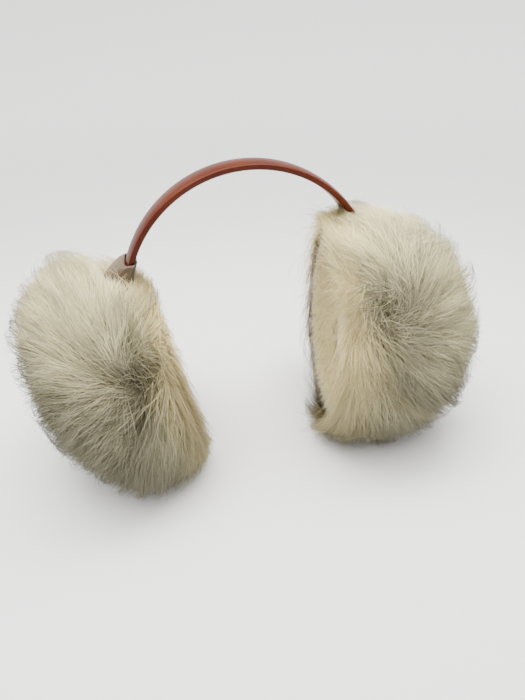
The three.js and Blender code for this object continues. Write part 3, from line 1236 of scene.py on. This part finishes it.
    def grow(self, coat: Coat) -> Piece:
        """Grows one coat of hair.

        Args:
            coat: the coat's sizes.

        Returns:
            The coat's object.
        """
        rng = np.random.default_rng(self.seed + len(coat.name))
        shares = np.linspace(0, 1, coat.segments + 1)
        pull = shares ** self.pull_power
        ways = self.scattered_ways(coat.strands, rng, coat.beside_hollow)
        tufts = self.locks(self.tufts, coat, shares, self.tuft_unevenness, rng)
        locks = self.locks(coat.locks, coat, shares, self.lock_unevenness, rng)
        tuft_of_lock = nearest(tufts["ways"], locks["ways"])
        beside_tuft = locks["paths"] - tufts["paths"][tuft_of_lock]
        locks["paths"] = locks["paths"] - beside_tuft * (self.tuft_pull * pull)[None, :, None]
        near = nearest(locks["ways"], ways)
        turn = self.swirl(ways) + locks["turn"][near] * self.hair_turn
        turn = turn + rng.normal(0, 1, coat.strands) * (self.hair_scatter + self.mess(ways))
        uneven = 1 + coat.length_scatter * rng.uniform(-1, 1, coat.strands)
        length = coat.length * self.shorter(ways) * uneven * locks["size"][near]
        stray = rng.random(coat.strands) < coat.stray_share
        tip = coat.tip_depth + coat.tip_scatter * rng.normal(size=coat.strands) + self.sink(ways)
        tip = tip - stray * coat.stray_rise * rng.random(coat.strands)
        points = self.paths(ways, turn, length, (self.root_depth(coat, ways), tip), shares, coat.rise_power)
        beside_lock = points - locks["paths"][near]
        loose = np.clip(self.near_parting(ways, self.loose_spread) * self.loose_gain, 0, 1)
        cling = coat.clump * (1 - self.stray_cling * stray) * (1 - loose) * rng.uniform(*self.clings, coat.strands)
        points = points - beside_lock * (np.clip(cling, 0, 1)[:, None, None] * pull[None, :, None])
        side = unit(np.cross(ways, self.comb(ways))) @ self.lean.T
        phase = locks["phase"][near] + rng.normal(0, self.wave_scatter, coat.strands)
        wave = coat.wave * np.sin(phase[:, None] + self.wave_turn * shares) * shares
        points += side[:, None] * wave[..., None]
        points[..., 2] -= self.sag * shares ** 2
        points = self.lay_down(self.hold_in(points), rng)
        points, kept = self.trim(self.part_at_band(points), shares)
        rounding = beside_lock / self.lock_radius + beside_tuft[near] / self.tuft_radius
        rounding /= np.maximum(np.linalg.norm(rounding, axis=-1, keepdims=True), 1.0)
        nap = unit(self.outward(points) + self.rounding * rounding)
        chance = locks["shade"][near] + tufts["shade"][tuft_of_lock][near]
        chance = chance + self.hair_shade * rng.normal(size=coat.strands)
        tint = self.tint(ways, chance + coat.greyness)
        # Hairs whose tips stand out past the round get painted shade towards their tips
        tint[:, 2] = coat.tip_depth < self.wispy_depth
        start = self.root_shade(ways)
        along = start[:, None] + (1 - start)[:, None] * shares
        return self.hair_object(coat.name, coat.root_width, points[kept], along[kept], nap[kept], tint[kept], rng)

    def root_depth(self, coat: Coat, ways: Array) -> Array:
        """How deep a coat's roots lie: deeper at the parting and less deep beside the hollow."""
        return coat.root_depth + self.sink(ways) - self.rim_root_share * coat.root_depth * self.beside(ways)

    def root_shade(self, ways: Array) -> Array:
        """Where hair begins on its ramp of colours: further on, and so paler, beside the hollow; less so low down,
        which keeps dark roots there as painted shade, and not at the parting.

        Args:
            ways: the ways to the roots.

        Returns:
            A share for each hair.
        """
        skin = self.place(ways, 0.0)
        pale = self.rim_pale * self.fade_from_hollow(skin)
        return pale * (1 - self.low_less_pale * self.low(skin)) * (1 - self.near_parting(ways, self.dark_spread))

    def sink(self, ways: Array) -> Array:
        """How much deeper hair lies in the dent at the parting."""
        return self.dent * self.near_parting(ways, self.dent_spread)

    def low(self, skin: Array) -> Array:
        """How far skin points look down: 0 on the muff's top, 1 on its underside."""
        low = np.clip((self.form.grey_from - self.outward(skin)[:, 2]) / self.low_fade, 0, 1)
        return low * low * (3 - 2 * low)

    def tint(self, ways: Array, chance: Array) -> Array:
        """Greyness and warmth of hair: painted shade low down and at the parting on top of each hair's own
        greyness, warm beside the hollow.

        Args:
            ways: the ways to the roots.
            chance: each hair's own greyness, with the wisps' painted shade on the fringe.

        Returns:
            Rows of greyness with its painted shade, warmth, and the share of painted shade that grows towards the
            tip, here 0.
        """
        low = self.low(self.place(ways, 0.0))
        grey = self.low_grey * low + self.parting_grey * self.near_parting(ways, self.grey_spread) + chance
        warm = (self.warmth + self.rim_warmth * self.beside(ways)) * (1 - self.low_less_warm * low)
        return np.stack([np.clip(grey, 0, 1), np.clip(warm, 0, 1), np.zeros(len(ways))], axis=1)

    def locks(self, count: int, coat: Coat, shares: Array, unevenness: float,
              rng: np.random.Generator) -> dict[str, Array]:
        """Locks that hair clings to.

        Args:
            count: how many there are.
            coat: the coat that they belong to.
            shares: the shares of their length at which points are wanted.
            unevenness: how much their tips' depths differ.
            rng: the source of chance.

        Returns:
            Their ways, turns, sizes, phases, shades and paths.
        """
        ways = self.scattered_ways(count, rng)
        unruly = self.lock_mess * self.mess(ways) + self.lock_turn * self.near_parting(ways, self.lock_turn_spread)
        turn = rng.normal(0, self.lock_scatter, count) + rng.normal(0, 1, count) * unruly
        size = rng.uniform(*self.lock_sizes, count)
        length = coat.length * size * self.shorter(ways)
        tip = coat.tip_depth + self.sink(ways) + unevenness * rng.normal(size=count)
        root = self.root_depth(coat, ways)
        return {
            "ways": ways,
            "turn": turn,
            "size": size,
            "phase": rng.uniform(0, 2 * math.pi, count),
            "shade": rng.normal(0.0, self.lock_shade, count),
            "paths": self.paths(ways, self.swirl(ways) + turn, length, (root, tip), shares, coat.rise_power),
        }

    def hair_object(self, name: str, root_width: float, points: Array, along: Array, nap: Array, tint: Array,
                    rng: np.random.Generator) -> Piece:
        """Makes tapered ribbons along the hairs' points and joins them in one mesh.

        Args:
            name: the coat's name.
            root_width: the hairs' width at their roots.
            points: hairs by points by coordinates, in millimetres, where X is positive.
            along: each point's place on its hair's ramp of colours.
            nap: the direction that each point faces.
            tint: each hair's greyness with its painted shade, its warmth, and whether painted shade grows towards
                its tip.
            rng: the source of chance.

        Returns:
            The coat's object.
        """
        tangent = unit(np.gradient(points, axis=1))
        across = unit(np.cross(tangent, nap))
        facing = np.cross(across, tangent)
        twist = rng.uniform(-self.twist, self.twist, len(points))[:, None, None]
        across = across * np.cos(twist) + facing * np.sin(twist)
        width = root_width * (1 - self.taper * np.linspace(0, 1, points.shape[1]) ** self.taper_power) / 2
        edges = across[:, :-1] * width[None, :-1, None]
        body = np.stack([points[:, :-1] - edges, points[:, :-1] + edges], axis=2)
        hairs, rows = body.shape[:2]
        vertices = np.concatenate([body.reshape(hairs, rows * 2, 3), points[:, -1:]], axis=1)
        per_hair = rows * 2 + 1
        triangles = []
        for low in range(0, per_hair - 3, 2):
            triangles += [(low, low + 1, low + 3), (low, low + 3, low + 2)]
        triangles.append((per_hair - 3, per_hair - 2, per_hair - 1))
        faces = (np.arange(hairs) * per_hair)[:, None, None] + np.array(triangles)[None]
        vertices = self.side.mirror(vertices.reshape(-1, 3))
        piece = mesh_object(f"{self.side.label}_{name}", vertices * MM, faces.reshape(-1, 3))
        nap, along = (np.concatenate([np.repeat(values[:, :-1], 2, axis=1), values[:, -1:]], axis=1)
                      for values in (nap, along))
        add_attribute(piece, "along", along.reshape(-1))
        add_attribute(piece, "tint", np.repeat(tint, per_hair, axis=0))
        add_attribute(piece, "nap", self.side.mirror(nap.reshape(-1, 3)))
        piece.data.materials.append(self.hair)
        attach(piece, "root")
        LOG.info("%s: %d triangles", piece.name, len(piece.data.polygons))
        return piece

    @property
    def seed(self) -> int:
        """Where the muff's chances start."""
        return SEEDS[self.side]

    @property
    def eye(self) -> Array:
        """A point inside the body from which all of its skin is seen."""
        return self.centre + np.array([self.eye_out, 0.0, 0.0])

    def hollow_reach(self, ways: Array) -> Array:
        """How far rays from the eye go until they enter the hollow, or very far where they miss it."""
        first = ellipsoid_hits(self.eye, ways, self.layout.hollow_centre, HOLLOW_RADII + self.wall_gap)[0]
        return np.where(np.isfinite(first) & (first > 0), first, ENDLESS)

    def skin_reach(self, ways: Array, depth: float) -> Array:
        """How far rays from the eye go until they reach a depth under the muff's round."""
        start = (self.eye - self.centre) @ self.lean
        return ellipsoid_hits(start, ways @ self.lean, np.zeros(3), self.radii - depth)[1]

    def rim(self, turn: Array) -> Array:
        """Finds the edge of the hollow, seen from the eye.

        Args:
            turn: angles about X.

        Returns:
            The angle from +X at each of them at which the skin meets the hollow.
        """
        polar = np.linspace(*self.rim_search)
        ways = polar_ways(*np.meshgrid(polar, turn, indexing="ij"))
        inside = self.hollow_reach(ways) < self.skin_reach(ways, self.rim_depth)
        return polar[inside.reshape(len(polar), len(turn)).argmax(0)]

    def body(self) -> Piece:
        """Makes the body under the hair, with its plush inside.

        Returns:
            The body's object.
        """
        turn = np.linspace(0, 2 * math.pi, self.columns, endpoint=False)
        rim = self.rim(turn)
        steps = np.linspace(0, 1, self.rows_outside)[:, None]
        inner_steps = np.linspace(0, 1, self.rows_inside)[1:, None]
        outer = self.pole_gap + (rim - self.pole_gap) * steps
        polar = np.vstack([outer, rim + (math.pi - self.pole_gap - rim) * inner_steps])
        ways = polar_ways(polar, np.broadcast_to(turn, polar.shape))
        from_rim = (np.broadcast_to(rim, polar.shape) - polar).reshape(-1)
        full = np.where(from_rim >= 0, np.exp(-((from_rim / self.lip) ** 2)), 1.0)
        deep = self.skin_reach(ways, self.body_depth)
        reach = deep + (self.skin_reach(ways, self.rim_depth) - deep) * full
        reach = np.where(from_rim < -TINY, self.hollow_reach(ways), reach)
        fall = np.minimum(ways[:, 2], -LEVEL_SLOPE)
        down = np.where(ways[:, 2] < -LEVEL_SLOPE, (self.floor_gap - self.eye[2]) / fall, ENDLESS)
        points = self.eye + ways * np.minimum(reach, down)[:, None]
        ball = unit(((points - self.centre) @ self.lean) / self.radii)
        dented = np.where(from_rim > 0, self.sink(ball), 0.0)
        points -= self.outward(points) * dented[:, None]
        faces = ring_faces(len(polar), self.columns)
        piece = mesh_object(f"{self.side.label}_fur_body", self.side.mirror(points) * MM, faces)
        rework(piece, lambda work: close_ends(work, self.columns))
        # Painted shade: the body under the hair takes the roots' dark colour, so gaps between locks show dark as
        # shade; paler towards the hollow's rim
        shade = self.skin_shade + self.rim_pale * self.fade_from_hollow(points)
        add_attribute(piece, "along", np.where(down < reach, self.sole_shade, shade))
        add_attribute(piece, "tint", self.tint(ball, np.zeros(len(ball))))
        add_attribute(piece, "nap", self.side.mirror(self.outward(points)))
        piece.data.materials.append(self.hair)
        piece.data.materials.append(self.plush)
        lined = np.zeros(len(piece.data.polygons), np.int32)
        lined[(self.rows_outside - 1) * self.columns:len(faces)] = 1
        lined[-1] = 1
        piece.data.polygons.foreach_set("material_index", lined)
        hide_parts(f"{self.side.label}_fur")
        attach(piece, "root")
        LOG.info("%s: %d faces", piece.name, len(piece.data.polygons))
        return piece

    def lining(self, pile: Pile) -> Piece:
        """Grows the short pile on the hollow's wall, round the ear pad.

        Args:
            pile: the pile's sizes.

        Returns:
            The pile's object.
        """
        rng = np.random.default_rng(self.seed + PILE_SEED)
        middle = self.layout.hollow_centre
        ways = unit(rng.normal(size=(pile.strands * pile.tries, 3)))
        ways[:, 0] = -np.abs(ways[:, 0])
        reach = self.hollow_reach(ways)
        points = self.eye + ways * np.minimum(reach, pile.farthest)[:, None]
        normal = unit((points - middle) / HOLLOW_RADII ** 2)
        spread = reach ** 2 / np.maximum(np.abs((ways * normal).sum(1)), pile.most_slant)
        even = spread > pile.thinning * rng.random(len(ways))
        wanted = (reach < self.skin_reach(ways, pile.edge_depth)) & even & (points[:, 2] > pile.above_floor)
        pad_height = self.layout.band_top - PAD_BELOW_BAND_TOP
        from_pad = np.hypot(points[:, 1] - self.centre[1], points[:, 2] - pad_height)
        points = points[wanted & (from_pad > PAD_RADIUS - pile.under_pad)][:pile.strands]
        inwards = -unit((points - middle) / HOLLOW_RADII ** 2)
        fall = np.array([0.0, 0.0, -1.0]) + rng.normal(0, pile.scatter, points.shape)
        fall = unit(fall - inwards * (fall * inwards).sum(1)[:, None])
        shares = np.linspace(0, 1, 3)
        length = rng.uniform(*pile.lengths, len(points))[:, None, None]
        rise = (pile.root_rise + pile.tip_rise * shares ** pile.rise_power)[None, :, None]
        rise = rise * rng.uniform(*pile.rise_scatter, len(points))[:, None, None]
        hairs = points[:, None] + fall[:, None] * length * shares[None, :, None] + inwards[:, None] * rise
        hairs[..., 2] = np.maximum(hairs[..., 2], pile.lowest)
        nap = np.broadcast_to(inwards[:, None], hairs.shape)
        grey = np.clip(pile.greyness + rng.normal(0.0, pile.grey_scatter, len(points)), 0, 1)
        tint = np.stack([grey, np.full(len(points), pile.warmth), np.zeros(len(points))], axis=1)
        along = np.broadcast_to(pile.root_shade + (1 - pile.root_shade) * shares, hairs.shape[:2])
        return self.hair_object("lining_pile", pile.root_width, hairs, along, nap, tint, rng)

    def build(self) -> None:
        """Makes the body, all the coats and the pile inside."""
        self.body()
        for coat in COATS:
            self.grow(coat)
        self.lining(Pile())


def polar_ways(polar: Array, turn: Array) -> Array:
    """Unit vectors at angles from +X, turned about it."""
    ways = np.stack([np.cos(polar), np.sin(polar) * np.cos(turn), np.sin(polar) * np.sin(turn)], axis=-1)
    return ways.reshape(-1, 3)


def push_out(points: Array, centre: Array, radii: Array, level: Array, softness: Array) -> Array:
    """Moves points inside an ellipsoid outwards.

    Args:
        points: where they are.
        centre: the ellipsoid's middle.
        radii: its half axes.
        level: the share of its radius that they are moved towards.
        softness: the share of their way that they stay short of it.

    Returns:
        The new points.
    """
    inside = (points - centre) / radii
    depth = np.linalg.norm(inside, axis=-1)
    wanted = level - (level - depth) * softness
    factor = np.where(depth < level, wanted / np.maximum(depth, TINY), 1.0)
    return centre + inside * factor[..., None] * radii


def nearest(sites: Array, queries: Array) -> Array:
    """Finds the nearest site for each query.

    Args:
        sites: points to choose from.
        queries: points that look for one.

    Returns:
        The number of each query's site.
    """
    tree = kdtree.KDTree(len(sites))
    for number, site in enumerate(sites):
        tree.insert(site, number)
    tree.balance()
    return np.array([tree.find(query)[1] for query in queries])


def ellipsoid_hits(eye: Array, ways: Array, centre: Array, radii: Array) -> tuple[Array, Array]:
    """Follows rays to where they cross an ellipsoid.

    Args:
        eye: where the rays start.
        ways: their directions.
        centre: the ellipsoid's middle.
        radii: its half axes.

    Returns:
        The first and the second distance of each, or not-a-number where it misses.
    """
    start = (eye - centre) / radii
    step = ways / radii
    a = (step ** 2).sum(1)
    b = step @ start
    root = b * b - a * ((start ** 2).sum() - 1)
    spread = np.sqrt(np.where(root > 0, root, np.nan))
    return (-b - spread) / a, (-b + spread) / a


# Studio


@dataclass(frozen=True)
class Lamp:
    """A soft area light, aimed at the object."""

    name: str
    place: Triple
    size: float
    power: float
    colour: Triple = (1.0, 1.0, 0.985)


LAMPS = (
    Lamp("over_left_muff", (0.15, 0.03, 0.52), 0.34, 2.8),
    Lamp("over_right_muff", (-0.16, 0.03, 0.50), 0.34, 2.6),
)
LAMP_TARGET = Vector((0, 0, 0.08))
SKY_STRENGTH = 5.5
SKY_SPREAD_DEGREES = 60.0
SKY_TILT_DEGREES = (14.0, -6.0, 0.0)
WORLD_COLOUR = (0.98, 0.99, 1.0, 1.0)
WORLD_STRENGTH = 0.3


@dataclass(frozen=True)
class Sweep:
    """A round floor, which curves up to a wall far all round the object, in metres."""

    flat: float = 1.6
    bend: float = 1.4
    height: float = 2.6
    columns: int = 96
    bend_steps: int = 25
    colour: tuple[float, ...] = (0.84, 0.835, 0.825, 1.0)
    roughness: float = 0.9
    specular: float = 0.1

    def build(self) -> None:
        """Makes the floor, from its middle outwards and up."""
        profile = [(0.0, 0.0), (self.flat / 2, 0.0)]
        for angle in np.linspace(0, math.pi / 2, self.bend_steps):
            profile.append((self.flat + self.bend * math.sin(angle), self.bend * (1 - math.cos(angle))))
        profile.append((self.flat + self.bend, self.height))
        turn = np.linspace(0, 2 * math.pi, self.columns, endpoint=False)
        rings = [[(out * math.cos(angle), out * math.sin(angle), up) for angle in turn] for out, up in profile]
        floor = mesh_object("floor", np.array(rings).reshape(-1, 3), ring_faces(len(profile), self.columns))
        tree = NodeTree("pale_floor")
        tree.shade({"Base Color": self.colour, "Roughness": self.roughness, "Specular IOR Level": self.specular})
        floor.data.materials.append(tree.material)


def make_lights() -> None:
    """Makes the broad light from above, the lamps and the world."""
    sky = bpy.data.lights.new("sky", "SUN")
    sky.energy = SKY_STRENGTH
    sky.angle = math.radians(SKY_SPREAD_DEGREES)
    add_object("sky", sky).rotation_euler = tuple(math.radians(angle) for angle in SKY_TILT_DEGREES)
    for lamp in LAMPS:
        data = bpy.data.lights.new(lamp.name, "AREA")
        data.shape = "DISK"
        data.size = lamp.size
        data.energy = lamp.power
        data.color = lamp.colour
        light = add_object(lamp.name, data)
        light.location = lamp.place
        light.rotation_mode = "QUATERNION"
        light.rotation_quaternion = (LAMP_TARGET - light.location).to_track_quat("-Z", "Y")
    world = bpy.data.worlds.new("studio")
    world.use_nodes = True
    background = world.node_tree.nodes["Background"].inputs
    background["Color"].default_value = WORLD_COLOUR
    background["Strength"].default_value = WORLD_STRENGTH
    bpy.context.scene.world = world


def make_camera() -> None:
    """Places the camera as the photo's was."""
    turn, tilt, roll = (math.radians(a) for a in (CAMERA_AZIMUTH, CAMERA_ELEVATION, CAMERA_ROLL))
    back = Vector((math.sin(turn) * math.cos(tilt), -math.cos(turn) * math.cos(tilt), math.sin(tilt)))
    right = Vector((0, 0, 1)).cross(back).normalized()
    up = back.cross(right)
    across = right * math.cos(roll) + up * math.sin(roll)
    above = up * math.cos(roll) - right * math.sin(roll)
    data = bpy.data.cameras.new("photo_camera")
    data.lens = CAMERA_LENS
    data.clip_start = CAMERA_NEAREST
    camera = add_object("photo_camera", data)
    axes = Matrix((across, above, back)).transposed().to_4x4()
    camera.matrix_world = Matrix.Translation(Vector(CAMERA_PLACE_MM) * MM) @ axes
    bpy.context.scene.camera = camera


def main() -> None:
    """Builds the object's looks round its CAD frame."""
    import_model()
    layout = Layout.from_frame()
    Headband(layout, BAND_FINISH).build()
    hair = fur_material(FurFinish())
    plush = plush_material("lining_plush", PlushFinish())
    suede = leather_material("collar_leather", COLLAR_FINISH)
    for side in Side:
        Collar(layout, side, suede).build()
        EarPad(side, plush).build()
        Muff(layout, side, hair, plush).build()
    Sweep().build()
    make_lights()
    make_camera()


if __name__ == "__main__":
    main()
